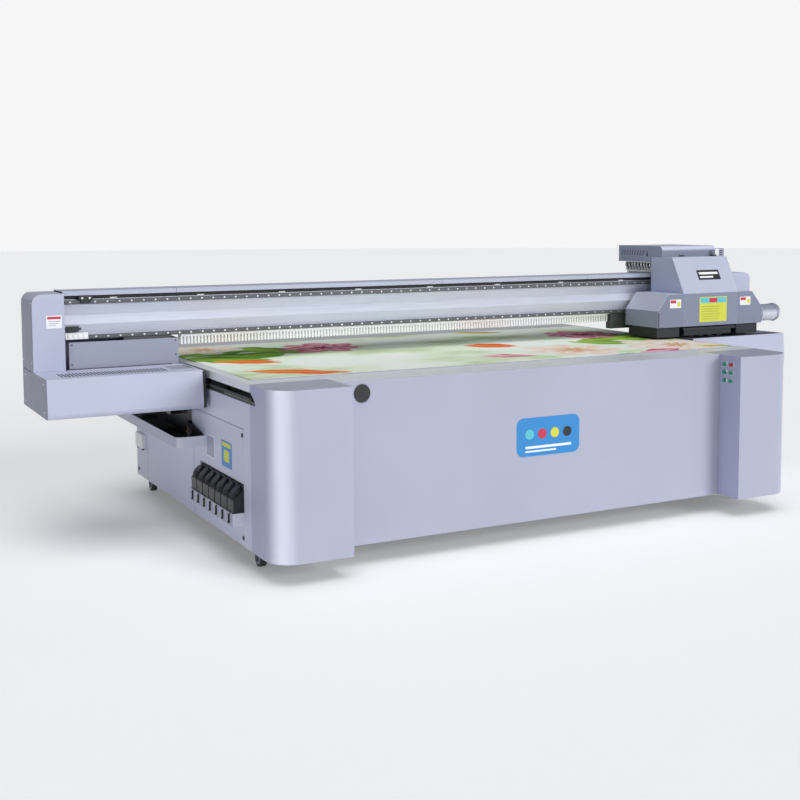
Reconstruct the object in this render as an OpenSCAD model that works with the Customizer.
// Flatbed UV printer: a fixed vacuum table on a welded base, a gantry that travels front to back,
// a carriage that runs along the gantry's beam, and a print head that lifts on the carriage.
// Frame: origin on the floor under the middle of the machine, +X along the beam to the right
// of someone facing the front, -Y to the front, +Z up. Millimetres.

/* [Base] */
// Overall length along the beam, over the end covers
machine_l = 4500; // [4500:2:4510]
// Width of the base along X
base_w = 2970; // [2966:2:2974]
// Depth of the base along Y
base_d = 2164; // [2160:2:2168]
// Height of the table top above the floor
table_h = 853; // [852:1:854]
// Height of the lower edge of the covers above the floor
skirt_h = 100; // [96:1:104]
// Width of the recess between the two front pillars
recess_w = 2228; // [2200:4:2240]
// Depth of that recess behind the pillars' faces
recess_d = 153; // [140:1:160]
// Depth of a front pillar along Y
pillar_d = 280; // [270:2:290]
// Radius of a pillar's outer front corner
corner_r = 120; // [80:5:140]

/* [Gantry] */
// Y of the beam's rail faces with the gantry at rest
beam_y = 110; // [108:1:112]
// Depth of the beam along Y
beam_d = 180; // [170:5:180]
// Underside of the beam
beam_low = 1000; // [998:1:1002]
// Top of the beam
beam_high = 1195; // [1195:1:1196]
// Top of the beam's sheet cover
cover_high = 1235; // [1232:1:1236]
// Top of a service box
box_high = 858; // [856:1:858]
// Underside of a service box
box_low = 672; // [668:1:676]
// Y of the upper front edge of a service box
box_front = -254; // [-260:1:-250]

/* [Carriage] */
// X of the hood's left side with the carriage at rest
hood_x = 1470; // [1470:1:1474]
// Width of the hood
hood_w = 430; // [428:1:430]
// Width of a lamp housing
lamp_w = 192; // [188:1:192]
// Y of the hood's lower front face
hood_front = -224; // [-228:1:-220]
// Lower edge of the hood
hood_low = 929; // [926:1:932]
// Height of the nozzles above the floor with the head down
nozzle_h = 860; // [860:1:862]

/* [Drives] */
// Tooth module of the racks and pinions
gear_m = 3; // [3:1:3]
// Teeth on a pinion
pinion_teeth = 14; // [14:1:14]
// Pitch radius of the carriage belt on its pulleys
belt_r = 26; // [26:1:26]

/* [Hidden] */
$fn = 48;

// Colours
PAINT = [0.76, 0.77, 0.85];
SHADE = [0.62, 0.64, 0.72];
ALU = [0.82, 0.84, 0.88];
STEEL = [0.66, 0.67, 0.69];
BLACK = [0.10, 0.10, 0.11];

// Sheet metal
skin = 3;
seam = 2;
eps = 1;

// Base
half_l = machine_l / 2;
half_w = base_w / 2;
front_y = -base_d / 2;
back_y = base_d / 2;
recess_half = recess_w / 2;
panel_y = front_y + recess_d;
pillar_back = front_y + pillar_d;
deck_low = table_h - 37;
core_low = table_h - 75;
core_half = half_w - 125;
sheet_half = 1435;
sheet_front = -691;
sheet_back = 810;
sheet_t = 4;

// Slot in each side through which a gantry arm reaches the rail
slot_low = 765;
slot_front = -865;
slot_back = 1045;
slot_ramp = 55;

// Side doors
door_front = -715;
door_back = 1062;
door_top = 640;

// Welded frame, from square tubes with a small weld gap between them
weld = 0.3;
tube_wall = 5;
side_tube = [1370, 1475];
side_tube_low = 620;
side_tube_high = 720;
foot_tube = [1370, 1450];
foot_tube_low = 110;
foot_tube_high = 190;
tube_w = 80;
riser_w = 60;
frame_back = back_y - 22;
cross_high_y = [-700, -130, 440, 950];
cross_low_y = [-580, 150, 910];
post_y = [-800, 130, 980];
riser_x = [-1300, -650, 0, 650, 1300];
foot_x = [-1250, 0, 1250];
foot_y = [-540, 950];

// Front-to-back rails and racks
y_rail_x = 1405;
y_rail_w = 24;
y_rail_h = 22;
rack_x = [1448, 1472];
rack_start = -862;
pinion_r = gear_m * pinion_teeth / 2;
pitch_z = 764;
pinion_y = 285;
pinion_z = pitch_z + pinion_r;
rack_teeth = floor((slot_back - rack_start) / (PI * gear_m));

// Ink rack on the left side
ink_count = 7;
ink_pitch = 88;
ink_front = -708;
ink_back = ink_front + ink_count * ink_pitch;
ink_out = -1540;
ink_in = -1428;
ink_low = 197;
ink_lip = 258;
ink_high = 388;

// Tray for the front-to-back drag chain
tray_out = -1628;
tray_low = 472;
tray_high = 524;
tray_front = -162;
tray_back = 1060;
y_chain_x = [-1600, -1510];
y_chain_start = 20;
y_chain_bend = 520;
y_chain_mid = 560;
chain_t = 30;
y_chain_r = 65;

// Casters
caster_x = 1410;
caster_front_y = -740;
caster_rear_y = 1000;
caster_trail = 25;
wheel_r = 37.5;
wheel_lift = 4;
axle_r = 5;
king_r = 7;

// Gantry
beam_back = beam_y + beam_d;
beam_half = 2095;
face_h = [23, 26];
nose = [10, beam_low + 75];
groove = [14, beam_low + 117];
cover_x = half_l - 151;
col_front = 46;
col_back = 319;
col_high = 1227;
col_r = 45;
box_in = half_w + 33;
box_lean = 12;
box_r = 25;
panel_x = [1531, 2074];
leg_x = [1560, 1800];
leg_y = [105, 235];
arm_in = 1372;
arm_y = [62, 250];
arm_z = [776, 806];
rail_t = 14;
rail_h = 20;
upper_rail_z = 1182;
lower_rail_z = 1012;
pulley_x = 2160;
belt_mid_y = 145;
belt_z = [1198, 1211];
belt_t = 2.6;
comb_x = [-1510, 1188];
guard_low = 905;
comb_pitch = 18;
comb_tooth = 10;
comb_h = 50;
comb_web = 12;
vent_y = [-190, -55];
vent_pitch = 17;
vent_w = 8;
trunk_y = [296, 386];
trunk_z = [1060, 1190];
trunk_half = 2080;
bracket_pitch = 900;
x_chain_y = [311, 371];
x_chain_mid = 1124;
x_chain_r = 44;
x_chain_t = 28;

// Carriage and head
hood_right = hood_x + hood_w;
hood_back = 80;
hood_knee = 1126;
hood_top = 1340;
slope_top_y = -114;
saddle_x = [hood_x + 10, hood_right - 10];
saddle_y = [62, 74];
arm_plate_z = [1240, 1252];
top_front = -24;
top_back = 397;
top_low = 1305;
top_high = 1405;
top_r = 30;
lamp_top = 1126;
lamp_chamfer = [80, 98];
lamp_low = 868;
head_plate_z = [905, 920];
head_x = [for (i = [0:3]) hood_x + 110 + i * 72];
head_y = [-140, -50];
cap_x = [hood_x + 70, hood_right - 18];
cap_y = [-195, 35];
cap_z = [800, 838];

// Push buttons on the inner face of the right pillar
button_y = [-969, -1016];
button_z = [806, 764, 720];
button_r = 11;

// ---------- helpers ----------

// Box from its lowest to its highest corner
module box_at(lo, hi) {
    translate(lo) cube(hi - lo);
}

// Square tube from its lowest to its highest corner, open at its ends along one axis
module tube(lo, hi, axis) {
    inset = [for (i = [0:2]) i == axis ? -eps : tube_wall];
    difference() {
        box_at(lo, hi);
        box_at(lo + inset, hi - inset);
    }
}

// The children on both sides of the middle plane
module both_sides() {
    children();
    mirror([1, 0, 0]) children();
}

// Points along an arc from angle a0 to a1 about c
function arc(c, r, a0, a1, n = 8) =
    [for (i = [0:n]) c + r * [cos(a0 + (a1 - a0) * i / n), sin(a0 + (a1 - a0) * i / n)]];

// Extrudes an outline given in Y and Z along X
module along_x(x0, x1) {
    translate([x0, 0, 0]) rotate([90, 0, 90]) linear_extrude(x1 - x0) children();
}

// Extrudes an outline given in X and Z along Y
module along_y(y0, y1) {
    translate([0, y1, 0]) rotate([90, 0, 0]) linear_extrude(y1 - y0) children();
}

// ---------- base ----------

module base_frame() {
    color(STEEL) {
        both_sides() {
            tube([side_tube[0], rack_start, side_tube_low], [side_tube[1], frame_back, side_tube_high], 1);
            tube([foot_tube[0], post_y[0], foot_tube_low], [foot_tube[1], frame_back, foot_tube_high], 1);
            for (y = post_y)
                tube([foot_tube[0], y, foot_tube_high + weld],
                     [foot_tube[1], y + tube_w, side_tube_low - weld], 2);
            caster_plate(caster_front_y);
        }
        for (y = cross_high_y)
            tube([-side_tube[0] + weld, y, side_tube_high - tube_w],
                 [side_tube[0] - weld, y + tube_w, side_tube_high], 0);
        for (y = cross_low_y)
            tube([-foot_tube[0] + weld, y, foot_tube_low],
                 [foot_tube[0] - weld, y + tube_w, foot_tube_high], 0);
        for (x = riser_x, y = cross_high_y)
            translate([x, y + tube_w / 2, 0])
                tube([-riser_w / 2, -riser_w / 2, side_tube_high + weld],
                     [riser_w / 2, riser_w / 2, core_low - weld], 2);
    }
}

// Mounting plate of a swivel caster, with the kingpin's hole
module caster_plate(y) {
    difference() {
        box_at([caster_x - 38, y - 40, foot_tube_low - 6], [caster_x + 38, y + 40, foot_tube_low - weld]);
        translate([caster_x, y, foot_tube_low - 7]) cylinder(r = king_r + 0.4, h = 8);
    }
}

module levelling_feet() {
    color(BLACK) for (x = foot_x, y = foot_y) translate([x, y, 0]) {
        cylinder(r = 45, h = 14);
        translate([0, 0, 14]) cylinder(r1 = 40, r2 = 20, h = 10, $fn = 64);
        translate([0, 0, 24]) cylinder(r = 12, h = foot_tube_low - weld - 24);
        translate([0, 0, foot_tube_low - 16]) cylinder(r = 22, h = 16 - weld, $fn = 6);
    }
}

// Suction chamber, open at the top, under a ribbed top plate; a tongue fills the front recess
module table_deck() {
    plate = 10;
    color(PAINT) {
        difference() {
            box_at([-core_half, pillar_back, core_low], [core_half, back_y - skin, deck_low]);
            for (i = [0:3])
                chamber(-core_half + skin + i * core_half / 2, -core_half + (i + 1) * core_half / 2);
        }
        difference() {
            box_at([-half_w, pillar_back, deck_low + weld], [half_w, back_y, table_h]);
            for (i = [0:5])
                box_at([-half_w + skin + i * half_w / 3, pillar_back + skin, deck_low - eps],
                       [-half_w + (i + 1) * half_w / 3 - skin, back_y - skin, table_h - plate]);
        }
        difference() {
            box_at([-recess_half + skin, panel_y + skin, core_low],
                   [recess_half - skin, pillar_back - weld, table_h]);
            box_at([-recess_half + 2 * skin, panel_y + 2 * skin, core_low - eps],
                   [recess_half - 2 * skin, pillar_back - skin, table_h - plate]);
        }
    }
}

// Space of one bay of the suction chamber
module chamber(x0, x1) {
    box_at([x0, pillar_back + skin, core_low + skin], [x1, back_y - 2 * skin, deck_low + eps]);
}

module print_sheet() {
    color([0.85, 0.92, 0.80])
        box_at([-sheet_half, sheet_front, table_h], [sheet_half, sheet_back, table_h + sheet_t]);
}

// Plan of the left pillar's cover, drawn inset from its outer skin
module pillar_plan(inset, back) {
    lo = [-half_w + inset, front_y + inset];
    r = corner_r - inset;
    polygon(concat(
        arc(lo + [r, r], r, 180, 270, 16),
        [[-recess_half - inset, lo[1]], [-recess_half - inset, back], [lo[0], back]]));
}

module pillar_cover() {
    difference() {
        translate([0, 0, skirt_h]) linear_extrude(table_h - skirt_h) pillar_plan(0, pillar_back);
        translate([0, 0, skirt_h - eps])
            linear_extrude(table_h - skirt_h + eps - skin) pillar_plan(skin, pillar_back + eps);
        along_x(-half_w - eps, -half_w + skin + eps) polygon([
            [slot_front, slot_low], [slot_front, slot_low + 14], [slot_front + slot_ramp, deck_low],
            [pillar_back + eps, deck_low], [pillar_back + eps, slot_low]]);
    }
}

module left_front_pillar() {
    color(PAINT) pillar_cover();
}

module right_front_pillar() {
    color(PAINT) difference() {
        mirror([1, 0, 0]) pillar_cover();
        for (y = button_y, z = button_z)
            translate([recess_half - eps, y, z]) rotate([0, 90, 0])
                cylinder(r = button_r + 0.4, h = skin + 2 * eps);
    }
}

// Front sheet with a stiffening return at its foot and two ribs behind it
module front_panel() {
    color(PAINT) {
        box_at([-recess_half + 1, panel_y, skirt_h], [recess_half - 1, panel_y + skin, table_h]);
        box_at([-recess_half + 1, panel_y + skin, skirt_h], [recess_half - 1, panel_y + 32, skirt_h + skin]);
        for (x = [-500, 500])
            box_at([x - 2, panel_y + skin, skirt_h + skin], [x + 2, panel_y + 32, core_low - 10]);
    }
}

module side_door() {
    box_at([-half_w, door_front + seam, skirt_h + seam],
           [-half_w + skin, door_back - seam, door_top - seam]);
}

module left_side_panel() {
    color(SHADE) difference() {
        side_door();
        box_at([-half_w - eps, ink_front - 1, ink_low - 1], [-half_w + skin + eps, ink_back + 1, ink_high + 1]);
    }
}

module right_side_panel() {
    color(SHADE) mirror([1, 0, 0]) side_door();
}

// Side sheets around the doors, up to the slots
module side_rail_covers() {
    color(PAINT) both_sides() along_x(-half_w, -half_w + skin) polygon([
        [pillar_back + 1, skirt_h], [door_front, skirt_h], [door_front, door_top],
        [door_back, door_top], [door_back, skirt_h], [back_y - skin, skirt_h],
        [back_y - skin, deck_low - weld], [slot_back, deck_low - weld], [slot_back, slot_low],
        [pillar_back + 1, slot_low]]);
}

module rear_panel() {
    louvre_w = 320;
    color(SHADE) difference() {
        box_at([-half_w, back_y - skin + weld, skirt_h], [half_w, back_y, deck_low - weld]);
        for (x = [-1000, 0, 1000], i = [0:9])
            box_at([x - louvre_w / 2, back_y - skin - eps, 300 + i * 26],
                   [x + louvre_w / 2, back_y + eps, 310 + i * 26]);
        box_at([1240, back_y - skin - eps, 180], [1300, back_y + eps, 230]);
    }
}

module y_rails() {
    color(ALU) both_sides()
        box_at([y_rail_x - y_rail_w / 2, rack_start, side_tube_high + weld],
               [y_rail_x + y_rail_w / 2, slot_back, side_tube_high + y_rail_h]);
}

// One rack tooth pitch: root, flank, tip, flank, as points in Y and Z
function rack_tooth(y) =
    let (p = PI * gear_m, root = pitch_z - 1.25 * gear_m, tip = pitch_z + gear_m, half = 0.23 * p)
    [[y + p / 2 - half - 1.25 * gear_m * tan(20), root], [y + p / 2 - half + gear_m * tan(20), tip],
     [y + p / 2 + half - gear_m * tan(20), tip], [y + p / 2 + half + 1.25 * gear_m * tan(20), root]];

// The tooth pattern is placed so that the gap of a rack lies under a pinion tooth at rest
module y_racks() {
    p = PI * gear_m;
    start = pinion_y - p * ceil((pinion_y - rack_start) / p) + p;
    color(STEEL) both_sides() along_x(rack_x[0], rack_x[1]) polygon(concat(
        [[start, side_tube_high + weld]],
        [for (i = [0:rack_teeth - 3], q = rack_tooth(start + i * p)) q],
        [[start + (rack_teeth - 2) * p, side_tube_high + weld]]));
}

module electrical_cabinet() {
    color(SHADE) difference() {
        box_at([-600, 620, foot_tube_high + weld], [600, 900, 600]);
        box_at([-600 + skin, 620 + skin, foot_tube_high + weld + skin], [600 - skin, 900 - skin, 600 - skin]);
    }
}

// Side-channel blowers with their motors and a pipe up to the suction chamber
module vacuum_blowers() {
    housing_h = 60;
    motor_h = 180;
    floor_z = foot_tube_high + weld;
    pipe_z = floor_z + housing_h + motor_h + 2 * weld;
    color(BLACK) for (x = [-900, 900]) translate([x, cross_low_y[1] + tube_w / 2, 0]) {
        translate([0, 0, floor_z]) cylinder(r = 130, h = housing_h);
        translate([0, 0, floor_z + housing_h + weld]) cylinder(r = 75, h = motor_h);
        translate([0, 0, pipe_z]) difference() {
            cylinder(r = 40, h = core_low - weld - pipe_z);
            translate([0, 0, -eps]) cylinder(r = 36, h = core_low);
        }
    }
}

// Open tray along the left side, closed by the side sheet on its inner edge
module chain_tray() {
    corner = 40;
    color(PAINT) difference() {
        translate([0, 0, tray_low]) linear_extrude(tray_high - tray_low) polygon(concat(
            arc([tray_out + corner, tray_front + corner], corner, 180, 270),
            [[-half_w - weld, tray_front], [-half_w - weld, tray_back], [tray_out, tray_back]]));
        translate([0, 0, tray_low + skin]) linear_extrude(tray_high - tray_low) polygon(concat(
            arc([tray_out + corner, tray_front + corner], corner - skin, 180, 270),
            [[-half_w + eps, tray_front + skin], [-half_w + eps, tray_back - skin],
             [tray_out + skin, tray_back - skin]]));
    }
}

// Shelf with a slotted lip outside the side sheet and a closed bay behind it
module ink_rack() {
    color(PAINT) {
        difference() {
            box_at([ink_out, ink_front, ink_low], [-half_w + skin, ink_back, ink_lip]);
            box_at([ink_out + skin, ink_front + skin, ink_low + skin],
                   [-half_w + skin + eps, ink_back - skin, ink_lip + eps]);
            for (i = [0:ink_count - 1])
                box_at([ink_out - eps, ink_front + (i + 0.5) * ink_pitch - 5, ink_low + 14],
                       [ink_out + skin + eps, ink_front + (i + 0.5) * ink_pitch + 5, ink_lip + eps]);
        }
        difference() {
            box_at([-half_w + skin + weld, ink_front, ink_low], [ink_in, ink_back, ink_high]);
            box_at([-half_w, ink_front + skin, ink_low + skin], [ink_in - skin, ink_back - skin, ink_high - skin]);
        }
    }
}

// Square bottles with a sloped shoulder and a drain that leaves through the slotted lip
module ink_bottles() {
    side = ink_out + skin + 3;
    low = ink_low + skin + 1;
    color(BLACK) for (i = [0:ink_count - 1]) {
        y = ink_front + (i + 0.5) * ink_pitch;
        along_y(y - 39, y + 39) polygon([
            [side, low], [side, 315], [side + 60, 375], [ink_in - skin - 3, 375], [ink_in - skin - 3, low]]);
        box_at([ink_out - 7, y - 3, 246], [side + 1, y + 3, 252]);
        box_at([ink_out - 7, y - 3, 214], [ink_out - 1, y + 3, 252]);
        box_at([ink_out - 9, y - 6, 210], [ink_out - 1, y + 4, 217]);
    }
}

module ink_caps() {
    color(BLACK) for (i = [0:ink_count - 1])
        translate([ink_out + skin + 33, ink_front + (i + 0.5) * ink_pitch, 345])
            rotate([0, -45, 0]) translate([0, 0, 0.3]) cylinder(r = 33, h = 16);
}

// ---------- casters ----------

// Fork and axle about the swivel axis; the wheel trails towards +Y
module fork_shape() {
    wheel_z = wheel_r + wheel_lift;
    translate([-22, -20, 84]) cube([44, 66, 8]);
    for (x = [-22, 18.5])
        translate([x, caster_trail - 15, wheel_z - 12]) cube([3.5, 30, 84 - wheel_z + 12.5]);
    translate([-22, caster_trail, wheel_z]) rotate([0, 90, 0]) cylinder(r = axle_r, h = 44);
}

module wheel_shape() {
    translate([-16, caster_trail, wheel_r + wheel_lift]) rotate([0, 90, 0]) difference() {
        cylinder(r = wheel_r, h = 32);
        translate([0, 0, -eps]) cylinder(r = axle_r + 0.35, h = 32 + 2 * eps);
    }
}

module swivel_fork(x) {
    color(BLACK) translate([x, caster_front_y, 0]) {
        fork_shape();
        translate([0, 0, 92]) cylinder(r = king_r, h = foot_tube_low - weld - 92 - 1);
        translate([0, 0, 92]) cylinder(r = 20, h = foot_tube_low - 6 - 92 - 0.5);
    }
}

module caster_fork_left() {
    swivel_fork(-caster_x);
}

module caster_fork_right() {
    swivel_fork(caster_x);
}

module rear_caster_forks() {
    color(BLACK) both_sides() translate([caster_x, caster_rear_y, 0]) {
        fork_shape();
        translate([-38, -40, 92]) cube([76, 80, foot_tube_low - weld - 92]);
    }
}

module caster_wheel(x, y) {
    color([0.14, 0.14, 0.15]) translate([x, y, 0]) wheel_shape();
}

module caster_wheel_front_left() {
    caster_wheel(-caster_x, caster_front_y);
}

module caster_wheel_front_right() {
    caster_wheel(caster_x, caster_front_y);
}

module caster_wheel_rear_left() {
    caster_wheel(-caster_x, caster_rear_y);
}

module caster_wheel_rear_right() {
    caster_wheel(caster_x, caster_rear_y);
}

// ---------- gantry ----------

// Hollow extrusion with a faceted front between its two rail faces, and a shelf at each end
module gantry_beam() {
    wall = 10;
    shelf_z = [1183, 1193];
    color(ALU) {
        difference() {
            along_x(-beam_half, beam_half) polygon([
                [beam_y, beam_low], [beam_back, beam_low], [beam_back, beam_high], [beam_y, beam_high],
                [beam_y, beam_high - face_h[1]], [beam_y + 2, beam_high - face_h[1]],
                [beam_y + groove[0], groove[1]], [beam_y - nose[0], nose[1]],
                [beam_y + 2, beam_low + face_h[0]], [beam_y, beam_low + face_h[0]]]);
            box_at([-beam_half - eps, beam_y + 26, beam_low + wall],
                   [beam_half + eps, beam_back - wall, beam_high - wall]);
        }
        both_sides() difference() {
            box_at([beam_half - eps, beam_y - 10, shelf_z[0]], [half_l - 30, beam_back - 90, shelf_z[1]]);
            translate([pulley_x, belt_mid_y, shelf_z[0] - eps]) cylinder(r = 10, h = 12);
        }
        translate([pulley_x, belt_mid_y, shelf_z[0]]) cylinder(r = 8, h = 30);
        translate([pulley_x, belt_mid_y, shelf_z[0]]) cylinder(r = 10.2, h = 10);
    }
}

// Folded cap over the belt channel
module beam_top_cover() {
    lo = beam_y - 14;
    hi = beam_back + 2;
    color(PAINT) along_x(-cover_x + 2, cover_x - 2) polygon([
        [lo, cover_high - 22], [lo, cover_high], [hi, cover_high], [hi, beam_high + weld],
        [hi - skin, beam_high + weld], [hi - skin, cover_high - skin], [lo + skin, cover_high - skin],
        [lo + skin, cover_high - 22]]);
}

module x_rails() {
    color(STEEL) for (z = [upper_rail_z, lower_rail_z])
        box_at([-beam_half + 10, beam_y - rail_t, z - rail_h / 2],
               [beam_half - 10, beam_y - weld, z + rail_h / 2]);
}

// Outline of an end cover in X and Z: rounded over the outer top edge
module end_outline(inset) {
    r = col_r - inset;
    polygon(concat(
        [[-cover_x + (inset > 0 ? eps : 0), box_high + weld - (inset > 0 ? eps : 0)],
         [-cover_x + (inset > 0 ? eps : 0), col_high - inset]],
        arc([-half_l + col_r, col_high - col_r], r, 90, 180),
        [[-half_l + inset, box_high + weld - (inset > 0 ? eps : 0)]]));
}

module end_covers() {
    color(PAINT) both_sides() difference() {
        along_y(col_front, col_back) end_outline(0);
        along_y(col_front + skin, col_back - skin) end_outline(skin);
    }
}

// Outline of a service box in Y and Z: the front leans out and rolls under
module box_outline(inset) {
    r = box_r - inset;
    bottom_y = box_front - box_lean;
    polygon(concat(
        [[col_back - inset, box_low + inset], [col_back - inset, box_high - inset],
         [box_front + inset, box_high - inset]],
        arc([bottom_y + box_r, box_low + box_r], r, 180, 270)));
}

// Closed sheet box, open above behind the leg cover and at the arm
module service_box() {
    difference() {
        along_x(-half_l, -box_in) box_outline(0);
        along_x(-half_l + skin, -box_in - skin) box_outline(skin);
        box_at([-half_l - eps, col_front + 15, box_high - skin - eps],
               [-box_in + eps, col_back - skin, box_high + eps]);
        box_at([-box_in - skin - eps, arm_y[0] - 8, arm_z[0] - 30],
               [-box_in + eps, col_back - skin, box_high + eps]);
    }
}

// Row of vent slots through a service box's top, from x0 along +X
module vent_slots(x0, count) {
    for (i = [0:count - 1])
        box_at([x0 + i * vent_pitch, vent_y[0], box_high - skin - eps],
               [x0 + i * vent_pitch + vent_w, vent_y[1], box_high + eps]);
}

// Box with a sunk tray in its top and a bracket for the drag chain below
module left_service_box() {
    tray_x = [-1640, -1528];
    color(PAINT) {
        difference() {
            service_box();
            vent_slots(-2168, 30);
            box_at([tray_x[0], -150, box_high - skin - eps], [tray_x[1], 30, box_high + eps]);
        }
        box_at([tray_x[0] - 4, -154, box_high - 12], [tray_x[1] + 4, 34, box_high - skin]);
        box_at([y_chain_x[0], 60, y_chain_mid + y_chain_r + chain_t / 2 + 3],
               [y_chain_x[1] - 20, 140, box_low]);
    }
}

// Box with an opening in its top for the capping tray
module right_service_box() {
    color(PAINT) difference() {
        mirror([1, 0, 0]) service_box();
        box_at([cap_x[0] - 14, cap_y[0] - 11, box_high - skin - eps],
               [cap_x[1] + 14, cap_y[1] + 11, box_high + eps]);
        vent_slots(1960, 16);
    }
}

// Sheet covers around the legs, and a closed cover under the right end of the beam
module leg_panels() {
    y0 = hood_back + 6;
    y1 = col_back - skin;
    top = beam_low - 12;
    color(PAINT) both_sides() difference() {
        box_at([panel_x[0], y0, box_high + weld], [panel_x[1], y1, top]);
        box_at([panel_x[0] + skin, y0 + skin, box_high - eps], [panel_x[1] + eps, y1 - skin, top + eps]);
    }
    color(PAINT) difference() {
        box_at([comb_x[1] + 2, beam_y + 2, guard_low], [box_in - 8, beam_y + 50, beam_low - weld]);
        box_at([comb_x[1] + 2 + skin, beam_y + 2 + skin, guard_low - eps],
               [box_in - 8 - skin, beam_y + 50 - skin, beam_low - weld - skin]);
    }
}

// Upright legs and the arms that reach through the slots onto the rails
module gantry_legs() {
    color(STEEL) both_sides() {
        tube([leg_x[0], leg_y[0], box_low + 18], [leg_x[1], leg_y[1], beam_low], 2);
        box_at([arm_in, arm_y[0], arm_z[0]], [leg_x[0] + eps, arm_y[1], arm_z[1]]);
    }
}

// Four carriages on the front-to-back rails
module y_bearing_blocks() {
    color(STEEL) both_sides() for (y = [66, 166]) difference() {
        box_at([y_rail_x - 35, y, side_tube_high + 6], [y_rail_x + 35, y + 80, arm_z[0]]);
        box_at([y_rail_x - y_rail_w / 2 - 0.4, y - eps, side_tube_high],
               [y_rail_x + y_rail_w / 2 + 0.4, y + 80 + eps, side_tube_high + y_rail_h + 0.4]);
    }
}

// Slotted wiring duct under the beam: a row of teeth at the front, a plain wall behind
module wiring_comb() {
    n = floor((comb_x[1] - comb_x[0]) / comb_pitch);
    low = beam_low - comb_h;
    web = beam_low - comb_web;
    color(PAINT) {
        along_y(beam_y + 2, beam_y + 5) polygon(concat(
            [[comb_x[0] + n * comb_pitch - comb_pitch + comb_tooth, beam_low - weld],
             [comb_x[0], beam_low - weld]],
            [for (i = [0:n - 1], q = [[0, low], [comb_tooth, low], [comb_tooth, web], [comb_pitch, web]])
                if (i < n - 1 || q[0] < comb_pitch && q[1] == low)
                    [comb_x[0] + i * comb_pitch + q[0], q[1]]]));
        box_at([comb_x[0], beam_y + 5 + weld, beam_low - skin],
               [comb_x[1], beam_y + 50, beam_low - weld]);
        box_at([comb_x[0], beam_y + 47, low], [comb_x[1], beam_y + 50, beam_low - skin]);
    }
}

// Plan of the belt loop at a given radius about the pulleys
module belt_plan(r) {
    square([2 * pulley_x, 2 * r], center = true);
    for (x = [-pulley_x, pulley_x]) translate([x, 0]) circle(r = r);
}

module x_belt() {
    color(BLACK) translate([0, belt_mid_y, belt_z[0]]) linear_extrude(belt_z[1] - belt_z[0])
        difference() {
            belt_plan(belt_r + belt_t / 2);
            belt_plan(belt_r - belt_t / 2);
        }
}

// Carriage motor in the left end, and a gantry motor in each service box
module drive_motors() {
    color(BLACK) {
        difference() {
            box_at([-pulley_x - 40, belt_mid_y - 40, 1060], [-pulley_x + 40, belt_mid_y + 40, 1183]);
            translate([-pulley_x, belt_mid_y, 1145]) cylinder(r = 7.4, h = 40);
        }
        both_sides() difference() {
            box_at([1500, 252, pinion_z - 33], [1720, 315, pinion_z + 33]);
            translate([1499, pinion_y, pinion_z]) rotate([0, 90, 0]) cylinder(r = 8.4, h = 32);
        }
    }
}

// Open trough on the beam's back for the carriage's drag chain
module chain_trunk() {
    color(PAINT) {
        difference() {
            box_at([-trunk_half, trunk_y[0], trunk_z[0]], [trunk_half, trunk_y[1], trunk_z[1]]);
            box_at([-trunk_half + skin, trunk_y[0] + skin, trunk_z[0] + skin],
                   [trunk_half - skin, trunk_y[1] - skin, trunk_z[1] + eps]);
        }
        for (x = [-2 * bracket_pitch:bracket_pitch:2 * bracket_pitch])
            box_at([x - 40, beam_back, trunk_z[0] + 20], [x + 40, trunk_y[0], trunk_z[1] - 20]);
    }
}

// ---------- gantry drives ----------

module pulley_rim() {
    cylinder(r = belt_r - belt_t / 2 - 0.35, h = belt_z[1] - belt_z[0]);
    translate([0, 0, -1.6]) cylinder(r = belt_r + 4, h = 1.3);
    translate([0, 0, -1.6]) cylinder(r = belt_r - 4, h = 2);
    translate([0, 0, belt_z[1] - belt_z[0] + 0.3]) cylinder(r = belt_r + 4, h = 1.3);
    translate([0, 0, belt_z[1] - belt_z[0] - 1]) cylinder(r = belt_r - 4, h = 2);
}

module drive_pulley() {
    color(ALU) translate([-pulley_x, belt_mid_y, belt_z[0]]) {
        pulley_rim();
        translate([0, 0, 1150 - belt_z[0]]) cylinder(r = 7, h = belt_z[1] - 1150 + 3);
    }
}

module idler_pulley() {
    color(ALU) translate([pulley_x, belt_mid_y, belt_z[0]]) difference() {
        pulley_rim();
        translate([0, 0, -4]) cylinder(r = 8.05, h = 24);
    }
}

// Gear outline with straight flanks and running clearance
module gear_plan(teeth) {
    tip = pinion_r + gear_m * 0.9;
    root = pinion_r - gear_m * 1.25;
    step = 360 / teeth;
    polygon([for (i = [0:teeth - 1], q = [[root, -0.34], [pinion_r, -0.205], [tip, -0.09],
                                          [tip, 0.09], [pinion_r, 0.205], [root, 0.34]])
        q[0] * [cos(step * (i + q[1])), sin(step * (i + q[1]))]]);
}

// One pinion on each rack, with its motor shaft; a tooth points straight down at rest
module y_pinions() {
    color(STEEL) both_sides() translate([rack_x[0], pinion_y, pinion_z]) {
        rotate([90, 0, 90]) linear_extrude(rack_x[1] - rack_x[0]) rotate(-90) gear_plan(pinion_teeth);
        translate([rack_x[1] - rack_x[0] - eps, 0, 0]) rotate([0, 90, 0]) cylinder(r = 8, h = 56);
    }
}

// Tray of rubber caps that rises to the parked head
module capping_tray() {
    rim = 6;
    color(BLACK) {
        difference() {
            box_at([cap_x[0], cap_y[0], cap_z[0]], [cap_x[1], cap_y[1], cap_z[1]]);
            box_at([cap_x[0] + rim, cap_y[0] + rim, cap_z[0] + rim],
                   [cap_x[1] - rim, cap_y[1] - rim, cap_z[1] + eps]);
        }
        for (x = head_x, y = head_y)
            box_at([x - 20, y - 38, cap_z[0] + rim - eps], [x + 20, y + 38, cap_z[1] + 3]);
    }
}

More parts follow.
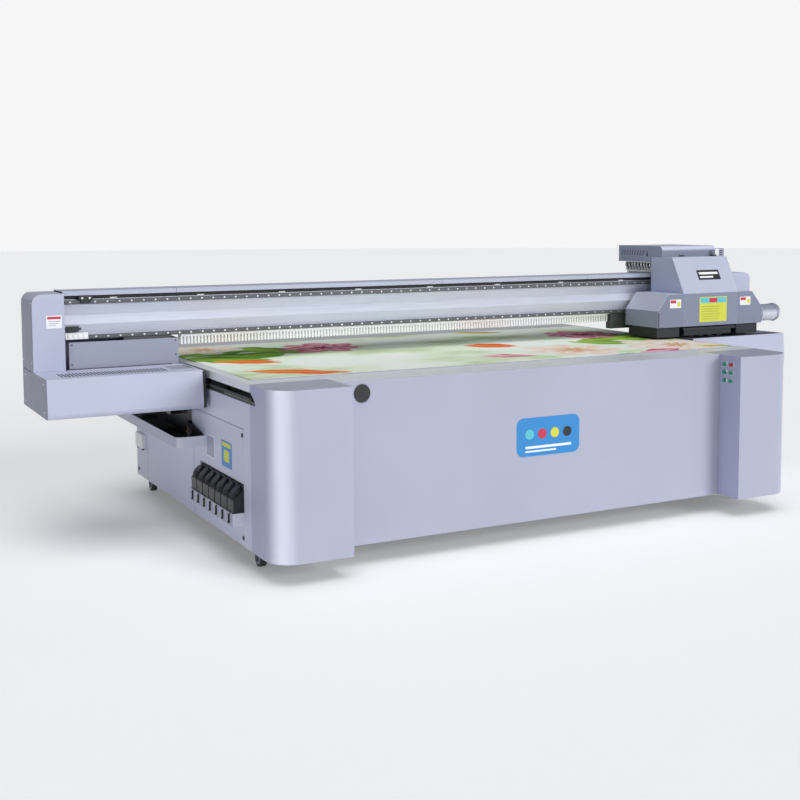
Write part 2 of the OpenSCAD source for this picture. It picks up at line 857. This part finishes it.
// Hairpin of drag chain lying in the trunk; it follows the carriage at half its speed
module x_drag_chain() {
    top = x_chain_mid + x_chain_r;
    low = x_chain_mid - x_chain_r;
    h = x_chain_t / 2;
    color(BLACK) along_y(x_chain_y[0], x_chain_y[1]) {
        translate([0, top - h]) square([1590, x_chain_t]);
        translate([0, low - h]) square([120, x_chain_t]);
        difference() {
            translate([0, x_chain_mid]) circle(r = x_chain_r + h);
            translate([0, x_chain_mid]) circle(r = x_chain_r - h);
            translate([0, x_chain_mid - 100]) square([100, 200]);
        }
    }
}

// Hairpin of drag chain in the side tray; it follows the gantry at half its speed
module y_drag_chain() {
    h = chain_t / 2;
    color(BLACK) along_x(y_chain_x[0], y_chain_x[1]) {
        translate([y_chain_start, y_chain_mid + y_chain_r - h])
            square([y_chain_bend - y_chain_start, chain_t]);
        translate([220, y_chain_mid - y_chain_r - h]) square([y_chain_bend - 220, chain_t]);
        difference() {
            translate([y_chain_bend, y_chain_mid]) circle(r = y_chain_r + h);
            translate([y_chain_bend, y_chain_mid]) circle(r = y_chain_r - h);
            translate([y_chain_bend - 120, y_chain_mid - 120]) square([120, 240]);
        }
    }
}

// ---------- carriage ----------

// Plate on the beam's front with an arm over the beam into the chain trunk
module carriage_saddle() {
    arm_back = 352;
    color(STEEL) {
        box_at([saddle_x[0], saddle_y[0], 990], [saddle_x[1], saddle_y[1], 1202]);
        box_at([saddle_x[0] + 20, saddle_y[0], 1202], [saddle_x[1] - 20, saddle_y[1], arm_plate_z[1]]);
        box_at([saddle_x[0] + 20, saddle_y[1], arm_plate_z[0]], [saddle_x[1] - 20, arm_back, arm_plate_z[1]]);
        box_at([1500, arm_back - 12, x_chain_mid + x_chain_r + x_chain_t / 2 + 6],
               [1600, arm_back, arm_plate_z[0]]);
        box_at([1660, saddle_y[1] - eps, belt_z[0] + 4], [1710, belt_mid_y - belt_r - belt_t / 2 - 0.4, belt_z[1]]);
    }
}

module x_bearing_blocks() {
    color(BLACK) for (z = [upper_rail_z, lower_rail_z], x = [saddle_x[0] + 10, saddle_x[1] - 90]) difference() {
        box_at([x, saddle_y[1] + weld, z - 20], [x + 80, beam_y - 5, z + (z > 1100 ? 17 : 20)]);
        box_at([x - eps, beam_y - rail_t - 0.4, z - rail_h / 2 - 0.4],
               [x + 80 + eps, beam_y, z + rail_h / 2 + 0.4]);
    }
}

// ---------- head ----------

// Vertical plate on the lift guides, base plate, and the carrier that the print heads sit in
module head_frame() {
    color(SHADE) {
        box_at([1490, 40, head_plate_z[1]], [1880, 52, 1290]);
        for (x = [1560, 1790])
            box_at([x, 52 - eps, 960], [x + 22, saddle_y[0] - 0.5, 1230]);
        difference() {
            box_at([1480, hood_front + 10, head_plate_z[0]], [1890, 52, head_plate_z[1]]);
            head_pockets();
        }
        difference() {
            box_at([1500, -196, nozzle_h + 12], [1870, 30, head_plate_z[0]]);
            head_pockets();
        }
    }
}

module head_pockets() {
    for (x = head_x, y = head_y)
        box_at([x - 18, y - 36, nozzle_h], [x + 18, y + 36, head_plate_z[1] + eps]);
}

// Eight ink-jet heads hung from the base plate
module print_heads() {
    color(BLACK) for (x = head_x, y = head_y) {
        box_at([x - 17, y - 35, nozzle_h], [x + 17, y + 35, head_plate_z[1] + 4]);
        box_at([x - 24, y - 42, head_plate_z[1] + weld], [x + 24, y + 42, head_plate_z[1] + 8]);
        box_at([x - 14, y - 30, head_plate_z[1] + 8], [x + 14, y + 30, 990]);
    }
}

// Outline of the hood in Y and Z
module hood_outline(inset, open) {
    polygon([[hood_back + open, hood_low - open], [hood_front + inset, hood_low - open],
             [hood_front + inset, hood_knee], [slope_top_y + inset * 0.7, hood_top - inset],
             [hood_back + open, hood_top - inset]]);
}

module carriage_hood() {
    color(PAINT) difference() {
        along_x(hood_x, hood_right) hood_outline(0, 0);
        along_x(hood_x + skin, hood_right - skin) hood_outline(skin, eps);
    }
}

// Outline of the electronics box in Y and Z: deeper behind the hood than above it
module top_outline(inset) {
    r = top_r - inset;
    polygon(concat(
        [[top_back - inset, top_low + inset], [top_back - inset, top_high - inset]],
        arc([top_front + top_r, top_high - top_r], r, 90, 180),
        [[top_front + inset, hood_top + weld + inset], [hood_back + 3 + inset, hood_top + weld + inset],
         [hood_back + 3 + inset, top_low + inset]]));
}

module top_box() {
    color(PAINT) difference() {
        along_x(hood_x, hood_right - 10) top_outline(0);
        along_x(hood_x + skin, hood_right - 10 - skin) top_outline(skin);
        box_at([hood_x + 12, 100, top_low - eps], [hood_right - 22, 385, top_low + skin + eps]);
        along_x(hood_x - eps, hood_x + skin + eps) union() {
            translate([119, 1346]) circle(r = 8);
            polygon([[111, 1346], [127, 1346], [119, 1380]]);
        }
    }
}

// Left lamp housing with its outer top edge cut off, over a lamp module with an open reflector
module lamp_shape() {
    reflector = 12;
    x0 = hood_x - lamp_w;
    x1 = hood_x - weld;
    difference() {
        along_y(hood_front, hood_back) polygon([
            [x0, hood_low], [x0, lamp_top - lamp_chamfer[1]], [x0 + lamp_chamfer[0], lamp_top],
            [x1, lamp_top], [x1, hood_low]]);
        along_y(hood_front + skin, hood_back - skin) polygon([
            [x0 + skin, hood_low - eps], [x0 + skin, lamp_top - lamp_chamfer[1]],
            [x0 + lamp_chamfer[0] + 1, lamp_top - skin],
            [x1 - skin, lamp_top - skin], [x1 - skin, hood_low - eps]]);
    }
    difference() {
        box_at([x0 + 14, hood_front + 24, lamp_low], [x1 - 8, hood_back - 14, hood_low + 40]);
        box_at([x0 + 14 + reflector, hood_front + 24 + reflector, lamp_low - eps],
               [x1 - 8 - reflector, hood_back - 14 - reflector, hood_low + 40 - reflector]);
    }
}

module uv_lamp_left() {
    color(PAINT) lamp_shape();
}

module uv_lamp_right() {
    duct_r = 52;
    color(PAINT) {
        translate([2 * hood_x + hood_w, 0, 0]) mirror([1, 0, 0]) lamp_shape();
        translate([hood_right + lamp_w + weld, hood_front + duct_r, 986]) rotate([0, 90, 0]) difference() {
            cylinder(r = duct_r, h = half_l - hood_right - lamp_w - weld);
            translate([0, 0, 8]) cylinder(r = duct_r - 2, h = half_l);
        }
    }
}

// Row of ink tubes from the electronics box down to the carriage arm
module ink_tubes() {
    color([0.9, 0.9, 0.88]) for (i = [0:8])
        translate([hood_x + 26, 112 + i * 29, arm_plate_z[1] + 2]) cylinder(r = 5, h = top_low + 12 - arm_plate_z[1]);
}

// ---------- push buttons ----------

// Cap outside the pillar's inner face and its stem behind
module push_button(i) {
    color(i == 1 ? [0.75, 0.1, 0.15] : [0.05, 0.5, 0.35])
        translate([recess_half, button_y[i % 2], button_z[floor(i / 2)]]) rotate([0, 90, 0]) {
            translate([0, 0, -12]) cylinder(r = button_r, h = 20);
            translate([0, 0, 8]) cylinder(r = 7, h = 24);
        }
}

module button_1() { push_button(0); }
module button_2() { push_button(1); }
module button_3() { push_button(2); }
module button_4() { push_button(3); }
module button_5() { push_button(4); }
module button_6() { push_button(5); }

base_frame();
levelling_feet();
table_deck();
print_sheet();
left_front_pillar();
right_front_pillar();
front_panel();
left_side_panel();
right_side_panel();
side_rail_covers();
rear_panel();
y_rails();
y_racks();
electrical_cabinet();
vacuum_blowers();
chain_tray();
ink_rack();
ink_bottles();
ink_caps();
rear_caster_forks();
gantry_beam();
beam_top_cover();
x_rails();
end_covers();
left_service_box();
right_service_box();
leg_panels();
gantry_legs();
y_bearing_blocks();
wiring_comb();
x_belt();
drive_motors();
chain_trunk();
carriage_saddle();
x_bearing_blocks();
head_frame();
print_heads();
carriage_hood();
top_box();
uv_lamp_left();
uv_lamp_right();
ink_tubes();
x_drag_chain();
y_drag_chain();
drive_pulley();
idler_pulley();
y_pinions();
capping_tray();
caster_fork_left();
caster_fork_right();
caster_wheel_front_left();
caster_wheel_front_right();
caster_wheel_rear_left();
caster_wheel_rear_right();
button_1();
button_2();
button_3();
button_4();
button_5();
button_6();
